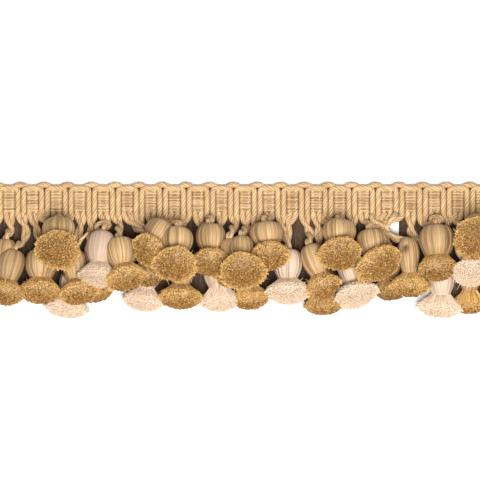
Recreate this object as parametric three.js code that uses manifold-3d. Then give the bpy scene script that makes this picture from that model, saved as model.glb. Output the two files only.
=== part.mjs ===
// Tassel fringe trim, a cut length lying on its back: a scalloped heading of weft threads and
// twisted cords, pairs of cord strands hanging from it, and onion-shaped tassels with cut tufts
// that lie heaped on each other as they fell.
// Millimetres. X runs along the trim, +Y points to the scalloped edge, +Z up from the surface.
// The origin is on the heading's back, at half its length and half its height.
import * as THREE from 'three';
import { mergeVertices } from 'three/addons/utils/BufferGeometryUtils.js';
import Module from 'manifold-3d';

const wasm = await Module();
wasm.setup();

// Heading
const REPEAT = 10.6; // from one slit to the next
const REPEATS = 22;
const HEADING_LOW = -6.7; // y of the lower edge
const TROUGH = 5.6; // y of the upper edge over a panel
const BUMP = 7.0; // y of the upper edge over a slit, where the back cord loops
const PANEL_TOP = 2.6;
const ARC_Y = 4.2; // middle of the front cord's arc over a panel
const CORD_OFF = 1.26; // a cord's distance from the slit
const PANEL_EDGE = 2.9; // a panel's edge, from the slit

// Hanging strands
const STEP = REPEAT / 2; // a pair of strands leaves the heading at each slit and each panel
const STRIP_TOP = HEADING_LOW - 0.3;
const STRIP_DEEP = 1.2;
const STRAND = 0.98; // from a strand's middle to its ridges
const STRAND_RUN = 5.2; // length of one straight stretch of a strand
const STRAND_Z = 1.35; // height of a pair's middle on the surface
const PAIR_TOP = 1.26; // from a pair's middle to the middle of each strand, at the heading
const PAIR_END = 1.16; // and at the tassel
const STRAND_TWIST = 36; // degrees that a strand turns in each stretch, as its plies wind round
const CLIMB = 8; // length in which a pair rises from the surface to the top of its tassel
const MOUTH = 0.6; // from the end of a pair to the dimple
const ELBOW = 1.8; // a pair's level run out of the strip

// Tassels
const GAP = 0.45; // clear space between pieces
const PRESS = 0.4; // how far a tassel is pressed flat where it touches the surface
const SOFT = 1.8; // depth to which a tassel gives way to the one that lies on it
const LIE = 0.72; // thickness of a tuft that lies on its side, as a share of its width
const HEAD_SIDES = 8;
const TUFT_SIDES = 10;
const LOCK = 0.07; // how far the locks at a tuft's rim stand out, as a share of its radius
const UNEVEN = 0.04; // how far a tuft is from round, as a share of its radius
const SHORT = -25; // a tassel whose head lies above this y has other tassels' strands under it
const STRAND_LAYER = 2.8; // height that those strands take
const LIFT_STEP = 1; // a tassel is tried at one height after another in these steps
const LIFT_HALVINGS = 2; // and then settles back by halves of a step

// A head from its dimple to its neck: share of its length, share of its girth
const HEAD = [
  [0.12, 0],
  [0.0, 0.42],
  [0.14, 0.8],
  [0.42, 1.0],
  [0.74, 0.88],
  [1.0, 0.64],
  [1.04, 0],
];

// A tuft from the neck to its cut face: share of its length, widening from neck (0) to rim (1),
// and how much of the rim's locks shows there
const TUFT = [
  [0.0, 0.0, 0],
  [0.26, 0.55, 0.3],
  [0.58, 1.0, 1],
  [0.9, 0.7, 0.2],
];
const TUFT_LYING = 10; // length of a tuft that lies on its side
const TUFT_UPRIGHT = 13; // and of one whose face is turned up
const NECK = 0.62; // radius of the neck, as a share of the girth

const TAN = new THREE.Color(0.78, 0.62, 0.38);
const CREAM = new THREE.Color(0.92, 0.8, 0.68);

// One row a tassel, in the order in which they came to lie on each other.
// pair, other: the pairs of strands that carry it, counted from the left end, the same one twice
// where it has one. x, y: middle of its head. girth: the head's radius. length: the head's. turn:
// the head's lean to the right of straight down, and tip its rise from the surface, in degrees.
// bend and rise: the same for the tuft. spread: the tuft's radius.
const COLUMNS = 'name yarn pair other x y girth length turn tip bend rise spread'.split(' ');
const TASSELS = [
  ['02', 'tan', 2, 2, -107.5, -24.0, 4.9, 11.0, -5, 0, 0, 5, 5.5],
  ['28', 'tan', 28, 28, 34.5, -36.5, 5.4, 11.5, 5, 0, 5, 0, 8.8],
  ['05', 'cream', 5, 5, -78.0, -38.0, 5.4, 11.5, -14, 0, -8, 0, 9.7],
  ['39', 'cream', 39, 39, 87.5, -36.5, 6.3, 14.0, 0, 0, -5, 0, 9.9],
  ['41', 'tan', 41, 41, 100.5, -36.0, 4.9, 11.5, 0, 0, 0, 0, 7.4],
  ['34', 'tan', 34, 34, 64.5, -29.5, 5.4, 12.5, 3, 0, 3, 0, 7.6],
  ['13', 'cream', 13, 13, -43.5, -34.5, 5.4, 12.5, -10, 0, -10, 8, 8.8],
  ['43', 'tan', 43, 43, 112.5, -35.0, 5.8, 12.5, 0, 0, 0, 5, 8.1],
  ['20', 'cream', 20, 20, -12.0, -34.0, 7.0, 13.5, 3, 0, 3, 5, 9.0],
  ['23', 'tan', 23, 23, 1.5, -33.5, 5.8, 12.5, 3, 5, 5, 12, 8.5],
  ['01', 'cream', 1, 1, -114.5, -26.5, 5.4, 13.5, -5, 0, -20, 5, 8.1],
  ['03', 'tan', 3, 3, -104.5, -30.5, 5.5, 14.5, -12, 8, -10, 30, 8.1],
  ['08', 'tan', 8, 8, -69.0, -30.5, 5.4, 12.5, 10, 0, 10, 0, 8.1],
  ['12', 'tan', 12, 12, -44.0, -24.0, 5.4, 11.0, 5, 0, 5, 20, 6.7],
  ['31', 'cream', 31, 31, 47.0, -32.5, 5.8, 12.5, 10, 5, 15, 35, 9.6],
  ['25', 'cream', 25, 26, 19.0, -30.0, 6.7, 14.0, 0, 5, 2, 25, 10.1],
  ['16', 'tan', 16, 17, -28.5, -33.0, 5.8, 12.5, -3, 8, -3, 20, 9.9],
  ['04', 'tan', 4, 4, -91.5, -30.0, 7.2, 13.5, 0, 10, -3, 25, 9.7],
  ['07', 'tan', 7, 7, -76.0, -30.5, 5.8, 13.5, 5, 12, 14, 28, 9.0],
  ['27', 'tan', 27, 27, 31.0, -28.0, 5.8, 14.5, 18, 8, 18, 30, 7.6],
  ['36', 'tan', 33, 36, 73.0, -26.0, 5.0, 16.0, 3, 5, 0, 15, 9.0],
  ['21', 'tan', 21, 21, -7.0, -24.0, 4.5, 11.5, 0, 0, 0, 10, 6.3],
  ['09', 'cream', 9, 9, -64.5, -22.5, 6.5, 15.0, -6, 15, -6, 28, 8.1],
  ['11', 'tan', 10, 11, -55.5, -24.5, 7.4, 13.0, 8, 15, 15, 28, 9.4],
  ['40', 'cream', 40, 40, 100.0, -23.0, 6.3, 11.5, 5, 10, 8, 42, 9.0],
  ['38', 'tan', 37, 38, 85.5, -19.5, 7.9, 14.5, 0, 8, 2, 30, 8.3],
  ['44', 'tan', 43.5, 43.5, 113.0, -17.0, 6.3, 12.5, 0, 10, 0, 45, 8.5],
  ['18', 'tan', 18, 19, -15.5, -18.0, 6.5, 12.5, 2, 8, 2, 42, 8.5],
  ['24', 'tan', 24, 24, 9.5, -16.5, 7.4, 11.0, 5, 10, 8, 48, 8.5],
  ['14', 'tan', 14, 14, -38.5, -15.5, 6.7, 11.0, -30, 10, -28, 55, 7.6],
  ['15', 'tan', 15, 15, -30.5, -19.5, 7.2, 12.5, -4, 12, -6, 52, 9.9],
  ['22', 'tan', 22, 22, -1.5, -23.0, 5.4, 11.5, 0, 12, 5, 52, 10.6],
  ['30', 'tan', 29, 30, 42.0, -15.5, 7.6, 11.0, 0, 12, 2, 50, 9.6],
  ['32', 'tan', 32, 35, 56.5, -20.0, 6.7, 11.5, 6, 12, 32, 45, 10.6],
  ['06', 'tan', 6, 6, -83.5, -14.3, 7.6, 14.0, 0, 15, 0, 72, 9.3],
  ['42', 'tan', 41.5, 41.5, 103.0, -13.3, 6.0, 10.0, 0, 45, 5, 78, 10.1],
].map((row) => Object.fromEntries(row.map((value, i) => [COLUMNS[i], value])));

function radians(degrees) {
  return (degrees * Math.PI) / 180;
}

// The unit vector that leans `turn` degrees to the right of -Y and rises `rise` degrees.
function direction(turn, rise) {
  const level = Math.cos(radians(rise));
  return new THREE.Vector3(
    Math.sin(radians(turn)) * level,
    -Math.cos(radians(turn)) * level,
    Math.sin(radians(rise)),
  );
}

// A closed mesh as a solid that can be joined and cut.
function solidOf(geometry) {
  const bare = geometry.index ? geometry.toNonIndexed() : geometry.clone();
  bare.deleteAttribute('normal');
  bare.deleteAttribute('uv');
  const merged = mergeVertices(bare, 1e-4);
  const corners = merged.index.array;
  const kept = [];
  for (let i = 0; i < corners.length; i += 3) {
    const [a, b, c] = corners.slice(i, i + 3);
    if (a !== b && b !== c && c !== a) kept.push(a, b, c);
  }
  const mesh = new wasm.Mesh({
    numProp: 3,
    vertProperties: merged.attributes.position.array,
    triVerts: new Uint32Array(kept),
  });
  return new wasm.Manifold(mesh);
}

function geometryOf(solid) {
  const mesh = solid.getMesh();
  const geometry = new THREE.BufferGeometry();
  geometry.setAttribute('position', new THREE.BufferAttribute(mesh.vertProperties, 3));
  geometry.setIndex(new THREE.BufferAttribute(mesh.triVerts, 1));
  return geometry;
}

function piece(name, geometry, colour) {
  const faceted = geometry.toNonIndexed();
  faceted.computeVertexNormals();
  const material = new THREE.MeshStandardMaterial({ color: colour, roughness: 0.9, metalness: 0 });
  const mesh = new THREE.Mesh(faceted, material);
  mesh.name = name;
  return mesh;
}

// A grid of points, rows[row][column], as a skin of triangle pairs that faces left of its rows' run.
function skin(rows, triangles) {
  for (let r = 0; r + 1 < rows.length; r++)
    for (let c = 0; c + 1 < rows[r].length; c++) {
      const [a, b] = [rows[r][c], rows[r][c + 1]];
      const [d, e] = [rows[r + 1][c], rows[r + 1][c + 1]];
      triangles.push(a, b, e, a, e, d);
    }
}

// A flat face from a loop of points, as a fan from its first.
function fan(loop, triangles) {
  for (let i = 1; i + 1 < loop.length; i++) triangles.push(loop[0], loop[i], loop[i + 1]);
}

function geometryFrom(triangles) {
  const geometry = new THREE.BufferGeometry();
  return geometry.setFromPoints(triangles);
}

// Heading: each column of points runs from the lower edge to the upper one at one distance from a
// slit. Its heights rise over the front cord's strand, sink in the slit and beside the panel, and
// rise again over the arc above the panel.
const SLIT_COLUMNS = [
  { off: 0, top: BUMP, heights: [1.0, 1.6, 1.5, 1.1, 2.8, 1.4] },
  { off: CORD_OFF, top: 6.7, heights: [1.4, 3.4, 3.3, 2.6, 2.6, 1.4] },
  { off: PANEL_EDGE - 0.2, top: 6.0, heights: [1.0, 2.0, 2.1, 3.3, 1.9, 1.2] },
  { off: REPEAT / 2, top: TROUGH, heights: [1.0, 2.8, 2.0, 3.4, 2.1, 1.3] },
];
const HEADING_ROWS = [HEADING_LOW, HEADING_LOW + 0.9, PANEL_TOP, ARC_Y];

function headingColumn(slit, column, side) {
  const x = slit + side * column.off;
  const ys = [...HEADING_ROWS, (ARC_Y + column.top) / 2, column.top];
  return ys.map((y, i) => new THREE.Vector3(x, y, column.heights[i]));
}

function headingGeometry() {
  const columns = [];
  const start = (-REPEATS * REPEAT) / 2;
  const outwards = [...SLIT_COLUMNS];
  for (let k = 0; k < REPEATS; k++) {
    const slit = start + (k + 0.5) * REPEAT;
    const left = outwards.slice(1).reverse();
    if (k > 0) left.shift();
    for (const column of left) columns.push(headingColumn(slit, column, -1));
    for (const column of outwards) columns.push(headingColumn(slit, column, 1));
  }
  const triangles = [];
  skin(columns.map((column) => [...column].reverse()), triangles);
  const flat = (point) => new THREE.Vector3(point.x, point.y, 0);
  const low = columns.map((column) => column[0]);
  const high = columns.map((column) => column.at(-1));
  skin([low.map(flat), low], triangles);
  skin([high, high.map(flat)], triangles);
  skin([high.map(flat), low.map(flat)], triangles);
  for (const [end, turned] of [[columns[0], false], [columns.at(-1), true]]) {
    const loop = [flat(end[0]), ...end, flat(end.at(-1))];
    if (turned) loop.push(loop.shift());
    fan(turned ? loop.reverse() : loop, triangles);
  }
  return geometryFrom(triangles);
}

// A profile turned about +Y with a swell for each of its points and sides, then carried to `foot`
// with its axis along `along`, and flattened upwards.
function turned(profile, sides, foot, along, flat, swellAt) {
  const points = profile.map(([height, radius]) => new THREE.Vector2(radius, height));
  const geometry = new THREE.LatheGeometry(points, sides);
  const position = geometry.attributes.position;
  for (let i = 0; i < position.count; i++) {
    const factor = swellAt(i % points.length, Math.floor(i / points.length));
    position.setXYZ(i, position.getX(i) * factor, position.getY(i), position.getZ(i) * factor);
  }
  const side = new THREE.Vector3().crossVectors(along, new THREE.Vector3(0, 0, 1)).normalize();
  const up = new THREE.Vector3().crossVectors(side, along);
  const place = new THREE.Matrix4().makeBasis(side, along, up.multiplyScalar(flat));
  return geometry.applyMatrix4(place.setPosition(foot));
}

// Where a tassel's head begins and ends and where its tuft points, with the head's middle at z = 0.
function layout(tassel) {
  const along = direction(tassel.turn, tassel.tip);
  const tuftAlong = direction(tassel.bend, tassel.rise);
  const middle = new THREE.Vector3(tassel.x, tassel.y, 0);
  const top = middle.clone().addScaledVector(along, -tassel.length / 2);
  const neck = middle.clone().addScaledVector(along, tassel.length / 2);
  return { along, tuftAlong, top, neck };
}

// A head and its tuft, joined, with every face moved outwards by `swell`. Every other side of the
// tuft's rim is a lock that stands out.
function tasselSolid(tassel, swell) {
  const { along, tuftAlong, top, neck } = layout(tassel);
  const head = HEAD.map(([share, girth]) => [
    share * (tassel.length + 2 * swell) - swell,
    girth && girth * tassel.girth + swell,
  ]);
  const upright = Math.sin(radians(tassel.rise)) ** 2;
  const tuftLength = THREE.MathUtils.lerp(TUFT_LYING, TUFT_UPRIGHT, upright);
  const thickness = THREE.MathUtils.lerp(LIE, 1, upright);
  const root = NECK * tassel.girth;
  const tuft = TUFT.map(([share, widening]) => [
    share * tuftLength,
    THREE.MathUtils.lerp(root, tassel.spread, widening) + swell,
  ]);
  const closed = [[-root / 2, 0], ...tuft, [tuftLength + swell, 0]];
  const locks = [0, ...TUFT.map(([, , lock]) => lock), 0];
  const rim = (point, side) =>
    1 +
    LOCK * locks[point] * (side % 2 ? -1 : 1) +
    UNEVEN * Math.cos((4 * Math.PI * side) / TUFT_SIDES + tassel.x);
  const headSolid = solidOf(turned(head, HEAD_SIDES, top, along, 1, () => 1));
  const tuftSolid = solidOf(turned(closed, TUFT_SIDES, neck, tuftAlong, thickness, rim));
  return headSolid.add(tuftSolid);
}

// Whether two solids share any space; boxes that are apart settle it at once.
function meet(a, b) {
  const [p, q] = [a.boundingBox(), b.boundingBox()];
  if ([0, 1, 2].some((i) => p.max[i] <= q.min[i] || q.max[i] <= p.min[i])) return false;
  return !a.intersect(b).isEmpty();
}

// The least lift at which a tassel's firm core clears the cores of what already lies there.
function settledLift(tassel, core, cores) {
  const blocked = (lift) => {
    const lifted = core.translate([0, 0, lift]);
    return cores.some((other) => meet(lifted, other));
  };
  const lowest = tasselSolid(tassel, 0).boundingBox().min[2];
  let lift = -lowest + (tassel.y > SHORT ? STRAND_LAYER : -PRESS);
  if (!blocked(lift)) return lift;
  while (blocked(lift)) lift += LIFT_STEP;
  for (let i = 1, step = LIFT_STEP / 2; i <= LIFT_HALVINGS; i++, step /= 2)
    lift += blocked(lift - step) ? 0 : -step;
  return lift;
}

// What is left of a solid after others are cut out of it.
function cutBy(solid, others) {
  return others.filter((other) => meet(solid, other)).reduce((rest, o) => rest.subtract(o), solid);
}

// The largest of a solid's separate bodies.
function mainBody(solid) {
  return solid.decompose().sort((a, b) => b.volume() - a.volume())[0];
}

// A rope strand: square sections along points, each turned a little further, closed at both ends.
function strandSolid(points, twist) {
  const path = points.map((point, i) => {
    const ahead = points[Math.min(i + 1, points.length - 1)];
    const behind = points[Math.max(i - 1, 0)];
    const along = new THREE.Vector3().subVectors(ahead, behind).normalize();
    const side = new THREE.Vector3(0, 0, 1).cross(along).normalize();
    if (side.lengthSq() < 0.5) side.set(1, 0, 0);
    const up = new THREE.Vector3().crossVectors(along, side);
    return [0, 1, 2, 3].map((corner) => {
      const angle = (corner * Math.PI) / 2 + i * twist;
      return point
        .clone()
        .addScaledVector(side, STRAND * Math.cos(angle))
        .addScaledVector(up, STRAND * Math.sin(angle));
    });
  });
  const triangles = [];
  skin(
    path.map((ring) => [...ring, ring[0]]),
    triangles,
  );
  fan([...path[0]].reverse(), triangles);
  fan(path.at(-1), triangles);
  return solidOf(geometryFrom(triangles));
}

// The middle line of a pair of strands, from the heading to just short of its tassel's dimple, or
// `beside` it where the tassel has two pairs. A pair lies on the surface until it has to climb.
function pairRoute(x, tassel, lift, beside) {
  const { along, top } = layout(tassel);
  const end = top.clone().setZ(top.z + lift).addScaledVector(along, -MOUTH);
  end.x += beside;
  const root = new THREE.Vector3(x, STRIP_TOP - STRIP_DEEP / 2, STRAND_Z);
  const elbow = new THREE.Vector3(x, root.y - ELBOW, STRAND_Z);
  end.y = Math.min(end.y, elbow.y);
  const points = [root, elbow];
  const drop = elbow.y - end.y;
  if (drop > CLIMB + STRAND_RUN)
    points.push(end.clone().addScaledVector(along, -CLIMB).setZ(STRAND_Z));
  if (drop > STRAND_RUN / 2) points.push(end.clone().addScaledVector(along, -STRAND_RUN / 3));
  points.push(end);
  return new THREE.CatmullRomCurve3(points, false, 'centripetal');
}

// One of a pair's two strands (hand 1 or -1) along the first `share` of its middle line. The two
// draw together on the way.
function pairStrand(route, hand, share) {
  const steps = Math.max(2, Math.round((route.getLength() * share) / STRAND_RUN));
  const points = Array.from({ length: steps + 1 }, (_, i) => {
    const along = (i / steps) * share;
    const apart = THREE.MathUtils.lerp(PAIR_TOP, PAIR_END, along);
    const middle = route.getPointAt(along);
    return new THREE.Vector3(middle.x + hand * apart, middle.y, Math.max(middle.z, STRAND_Z));
  });
  return strandSolid(points, radians(STRAND_TWIST));
}

// The longest such strand that is clear of everything in `others`.
function clearStrand(route, hand, others) {
  for (let tenths = 10; tenths > 1; tenths--) {
    const strand = pairStrand(route, hand, tenths / 10);
    if (!others.some((other) => meet(strand, other))) return strand;
  }
  return null;
}

function stripSolid() {
  const length = REPEATS * REPEAT;
  const strip = new THREE.BoxGeometry(length, STRIP_DEEP, 2 * STRAND_Z - 0.5);
  return solidOf(strip.translate(0, STRIP_TOP - STRIP_DEEP / 2, STRAND_Z));
}

const heading = solidOf(headingGeometry());
const strip = stripSolid();

// The tassels, laid down one after another; each is dented by those already there
function heap() {
  const laid = [];
  const cores = [heading, strip];
  const swollen = [heading.translate([0, -GAP, GAP])];
  for (const tassel of TASSELS) {
    const core = tasselSolid(tassel, -SOFT);
    const lift = settledLift(tassel, core, cores);
    const whole = tasselSolid(tassel, 0).translate([0, 0, lift]);
    laid.push({ tassel, lift, solid: mainBody(cutBy(whole, swollen)) });
    cores.push(core.translate([0, 0, lift]));
    swollen.push(tasselSolid(tassel, GAP).translate([0, 0, lift]));
  }
  return laid;
}

// Pairs of strands, fused at their roots into the strip and stopping short of every tassel
function hangersSolid(laid) {
  const others = laid.map(({ tassel, lift }) => tasselSolid(tassel, GAP).translate([0, 0, lift]));
  let hangers = strip;
  for (const { tassel, lift } of laid) {
    const pairs = [...new Set([tassel.pair, tassel.other])];
    pairs.forEach((pair, i) => {
      const x = pair * STEP - (REPEATS * REPEAT) / 2;
      const beside = (i - (pairs.length - 1) / 2) * 4 * PAIR_END;
      const route = pairRoute(x, tassel, lift, beside);
      for (const hand of [1, -1]) {
        const strand = clearStrand(route, hand, others);
        if (!strand) continue;
        hangers = hangers.add(strand);
        others.push(strand);
      }
    });
  }
  return hangers;
}

// Points below the surface are pressed up onto it.
function rested(geometry) {
  const position = geometry.attributes.position;
  for (let i = 0; i < position.count; i++) position.setZ(i, Math.max(0, position.getZ(i)));
  return geometry;
}

const laid = heap();
const trim = new THREE.Group();
trim.add(piece('heading', geometryOf(heading), TAN));
trim.add(piece('hangers', geometryOf(hangersSolid(laid)), TAN));
for (const { tassel, solid } of laid) {
  const colour = tassel.yarn === 'cream' ? CREAM : TAN;
  trim.add(piece('tassel_' + tassel.name, rested(geometryOf(solid)), colour));
}

export default trim;
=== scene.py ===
import math

import bpy
import numpy as np
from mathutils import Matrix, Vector


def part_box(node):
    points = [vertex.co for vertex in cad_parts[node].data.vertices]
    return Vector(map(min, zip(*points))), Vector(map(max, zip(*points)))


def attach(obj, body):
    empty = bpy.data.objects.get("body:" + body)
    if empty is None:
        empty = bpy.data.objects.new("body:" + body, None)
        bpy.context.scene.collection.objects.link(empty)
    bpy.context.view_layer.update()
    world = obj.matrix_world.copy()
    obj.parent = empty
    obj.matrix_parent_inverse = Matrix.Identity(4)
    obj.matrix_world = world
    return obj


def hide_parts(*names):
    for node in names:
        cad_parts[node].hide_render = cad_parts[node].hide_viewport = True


# Looks of a tassel fringe trim that lies on its back: a heading of weft threads between twisted
# cords, the cords hanging from it in twisted pairs, and a heap of tassels with cut tufts.
# Everything is worked out in millimetres, in the frame of the solids, and made in metres.

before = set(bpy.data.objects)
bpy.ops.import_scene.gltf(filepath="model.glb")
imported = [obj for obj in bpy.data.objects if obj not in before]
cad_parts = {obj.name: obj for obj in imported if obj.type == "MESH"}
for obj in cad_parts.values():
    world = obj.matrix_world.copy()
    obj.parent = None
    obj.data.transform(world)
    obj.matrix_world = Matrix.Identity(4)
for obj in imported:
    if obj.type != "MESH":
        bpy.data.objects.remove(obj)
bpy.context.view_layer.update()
MM = 0.001
UP = np.array([0.0, 0.0, 1.0])
GOLDEN_TURN = math.pi * (3 - math.sqrt(5))

# Heading
REPEAT = 10.6  # from one slit to the next
REPEATS = 22
STEP = REPEAT / 2  # a pair of cords leaves the heading at each slit and behind each panel
END = REPEATS * REPEAT / 2
HEADING_LOW = -6.7  # y of its lower edge
CORD = 1.26  # radius of a cord in the heading
CORD_OFF = 1.31  # from a slit, or a panel's middle, to the middle of each cord beside it
PANEL_HALF = 2.6
PANEL_TOP = 3.5
PANEL_THREADS = 16
PANEL_Z = 2.2  # height of a panel's face at its two sides
PANEL_SWELL = 0.55  # and how much higher it is in its middle
THREAD_POINTS = 4  # of a panel's section, to each of its threads
THREAD_HIGH = 0.17  # how far the face rises and falls from thread to thread
CORD_PLIES = 5
CORD_PITCH = 10.0  # length in which a cord's plies turn once
# Outline of a ply of two yarns, as shares of the cord's radius, from the gap before it
PLY_SHAPE = [0.85, 0.96, 1.0, 0.95, 1.0, 0.96]
RING = 0.76  # from one ring of a cord's skin to the next

# Cord pairs below the heading
FRONT_Z, BACK_Z = 2.1, 1.4  # height of a front and of a back cord at the heading's lower edge
LEAD = 0.9  # straight run out of the heading
ELBOW = 1.8  # and on from there to a pair's first bend
SURFACE_Z = 1.5  # a pair's middle where it lies on the surface
LONG_DROP = 13.0  # a pair that has further down than this to go is first laid on the surface
CLIMB = 8.0  # and leaves it this far from its dimple
ROUTE_STEP = 0.25  # from one point of a pair's middle line to the next
# How a pair draws together: way from the heading, a cord's radius, and how far its middle is off
PAIR_TAPER = [
    (0, CORD, CORD_OFF), (1.2, 1.34, CORD_OFF), (6, 1.18, 1.12), (12, 1.06, 0.95), (22, 0.9, 0.7),
]
PAIR_PITCH = 16.0  # length in which the pair turns once
TWIST_FROM = 2.0  # way from the heading to where it starts to turn
MOUTH = 1.6  # from the last bend of a pair to the dimple
DIMPLE_DEEP = 0.12  # how far a pair goes down its dimple, as a share of the head's length

# Tassels
THREADS = 62  # round a head
RIDGE = 0.016  # height of a thread, as a share of the radius
STREAK = 0.007  # and of the streaks that threads gather into
STREAK_WAVES = np.arange(28, 62)  # counts of waves round a head that add up to them
# THREAD_CONTRAST also sets the painted shade in the grooves between a head's threads
THREAD_CONTRAST = {"cream": 0.6, "tan": 0.9}  # between a head's threads
TUFT_LYING, TUFT_UPRIGHT = 10.0, 13.0  # length of a tuft
LIE = 0.72  # thickness of a tuft that lies on its side, as a share of its width
NECK = 0.62  # radius of the tuft at the neck, as a share of the head's girth
LOCK, UNEVEN = 0.07, 0.04  # how far the solid tuft is from round
DOME = 0.42  # how far a tuft's face falls from its middle to its rim, as a share of its length
CLEAR = 0.15  # between a tassel and those that lie under it
SURFACE_GAP = 0.02  # and between it and the surface
FACE_PER_END, RIM_PER_END = 0.2, 0.3  # square millimetres of a tuft's face and rim to each cut end
RIM_SPAN = (0.36, 0.64)  # where cut ends stand on the rim, as shares of the tuft's length
RIM_LONG = 0.26  # share of that length that the count of them goes by
FACE_TONE, RIM_TONE = (0.16, 0.56), 0.72  # the face's middle, what its edge has on top, the rim
END_CONTRAST = {"cream": 0.1, "tan": 0.2}  # between cut ends
STRAND_RADIUS = (0.28, 0.4)  # of a tuft's strands, before it is varied along and round each
FLARE_STEP = 0.24  # of the rim, to each strand of the fan
FIBRES = {"cream": 90, "tan": 60}  # that stand out of a tuft

# Share of the head's length and of its girth, from the dimple to the neck
HEAD_OUTLINE = [
    (0.13, 0.0), (0.05, 0.2), (0.0, 0.42), (0.035, 0.64), (0.13, 0.84), (0.27, 0.965),
    (0.42, 1.0), (0.58, 0.975), (0.74, 0.88), (0.88, 0.74), (1.0, 0.64),
]
# Share of the tuft's length, and how far it has widened from the neck to the rim
TUFT_OUTLINE = [(0.0, 0.0), (0.13, 0.22), (0.26, 0.5), (0.4, 0.76), (0.53, 0.9)]
# The face of the tuft's core, on which the cut ends stand: shares of its length and of its spread
CORE_FACE = [(0.57, 0.92), (0.74, 0.76), (0.87, 0.46), (0.915, 0.2), (0.925, 0.0)]
HEAD_ROWS, FLARE_ROWS = 17, 8  # of the head, and of the tuft as far as TUFT_OUTLINE goes
CORE_COLUMNS = 48
CORE_OUT = 0.25  # how far a tuft's core stands out of TUFT_OUTLINE
# Share of light on the head's first rows, on the core, and on the head's end inside the tuft
DIMPLE_SHADE, CORE_SHADE, NECK_SHADE = [0.1, 0.5, 0.9], 0.8, 0.6
# Where a tassel goes over from the head's axis to the tuft's: share of the head's length before
# the neck, and of the tuft's after it
GOES_OVER = (0.22, 0.18)
# The plain solids' outlines: shares of the head's length and girth; share of the tuft's length, how
# far it has widened, and how much of a lock it has
SOLID_HEAD = np.array([(0.12, 0), (0, 0.42), (0.14, 0.8), (0.42, 1), (0.74, 0.88), (1, 0.64)])
SOLID_TUFT = np.array([(0.26, 0.55, 0.3), (0.58, 1, 1), (0.9, 0.7, 0.2), (1, 0, 0)])

COLUMNS = ["name", "yarn", "x", "y", "girth", "length", "turn", "tip", "bend", "rise", "spread"]
# In the order in which they lie on each other. x and y are the head's middle, girth its radius,
# turn and tip the way it points (degrees right of -Y and up), bend and rise the way the tuft
# points, and spread the tuft's radius.
TASSELS = [dict(zip(COLUMNS, row)) for row in [
    ("02", "tan", -107.5, -24.0, 4.9, 11.0, -5, 0, 0, 5, 5.5),
    ("28", "tan", 34.5, -36.5, 5.4, 11.5, 5, 0, 5, 0, 8.8),
    ("05", "cream", -78.0, -38.0, 5.4, 11.5, -14, 0, -8, 0, 9.7),
    ("39", "cream", 87.5, -36.5, 6.3, 14.0, 0, 0, -5, 0, 9.9),
    ("41", "tan", 100.5, -36.0, 4.9, 11.5, 0, 0, 0, 0, 7.4),
    ("34", "tan", 64.5, -29.5, 5.4, 12.5, 3, 0, 3, 0, 7.6),
    ("13", "cream", -43.5, -34.5, 5.4, 12.5, -10, 0, -10, 8, 8.8),
    ("43", "tan", 112.5, -35.0, 5.8, 12.5, 0, 0, 0, 5, 8.1),
    ("20", "cream", -12.0, -34.0, 7.0, 13.5, 3, 0, 3, 5, 9.0),
    ("23", "tan", 1.5, -33.5, 5.8, 12.5, 3, 5, 5, 12, 8.5),
    ("01", "cream", -114.5, -26.5, 5.4, 13.5, -5, 0, -20, 5, 8.1),
    ("03", "tan", -104.5, -30.5, 5.5, 14.5, -12, 8, -10, 30, 8.1),
    ("08", "tan", -69.0, -30.5, 5.4, 12.5, 10, 0, 10, 0, 8.1),
    ("12", "tan", -44.0, -24.0, 5.4, 11.0, 5, 0, 5, 20, 6.7),
    ("31", "cream", 47.0, -32.5, 5.8, 12.5, 10, 5, 15, 35, 9.6),
    ("25", "cream", 19.0, -30.0, 6.7, 14.0, 0, 5, 2, 25, 10.1),
    ("16", "tan", -28.5, -33.0, 5.8, 12.5, -3, 8, -3, 20, 9.9),
    ("04", "tan", -91.5, -30.0, 7.2, 13.5, 0, 10, -3, 25, 9.7),
    ("07", "tan", -76.0, -30.5, 5.8, 13.5, 5, 12, 14, 28, 9.0),
    ("27", "tan", 31.0, -28.0, 5.8, 14.5, 18, 8, 18, 30, 7.6),
    ("36", "tan", 73.0, -26.0, 5.0, 16.0, 3, 5, 0, 15, 9.0),
    ("21", "tan", -7.0, -24.0, 4.5, 11.5, 0, 0, 0, 10, 6.3),
    ("09", "cream", -64.5, -22.5, 6.5, 15.0, -6, 15, -6, 28, 8.1),
    ("11", "tan", -55.5, -24.5, 7.4, 13.0, 8, 15, 15, 28, 9.4),
    ("40", "cream", 100.0, -23.0, 6.3, 11.5, 5, 10, 8, 42, 9.0),
    ("38", "tan", 85.5, -19.5, 7.9, 14.5, 0, 8, 2, 30, 8.3),
    ("44", "tan", 113.0, -17.0, 6.3, 12.5, 0, 10, 0, 45, 8.5),
    ("18", "tan", -15.5, -18.0, 6.5, 12.5, 2, 8, 2, 42, 8.5),
    ("24", "tan", 9.5, -16.5, 7.4, 11.0, 5, 10, 8, 48, 8.5),
    ("14", "tan", -38.5, -15.5, 6.7, 11.0, -30, 10, -28, 55, 7.6),
    ("15", "tan", -30.5, -19.5, 7.2, 12.5, -4, 12, -6, 52, 9.9),
    ("22", "tan", -1.5, -23.0, 5.4, 11.5, 0, 12, 5, 52, 10.6),
    ("30", "tan", 42.0, -15.5, 7.6, 11.0, 0, 12, 2, 50, 9.6),
    ("32", "tan", 56.5, -20.0, 6.7, 11.5, 6, 12, 32, 45, 10.6),
    ("06", "tan", -83.5, -15.2, 7.5, 12.4, 0, 15, 0, 72, 9.3),
    ("42", "tan", 103.0, -13.3, 6.0, 10.0, 0, 45, 5, 78, 10.1),
]]

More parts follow.
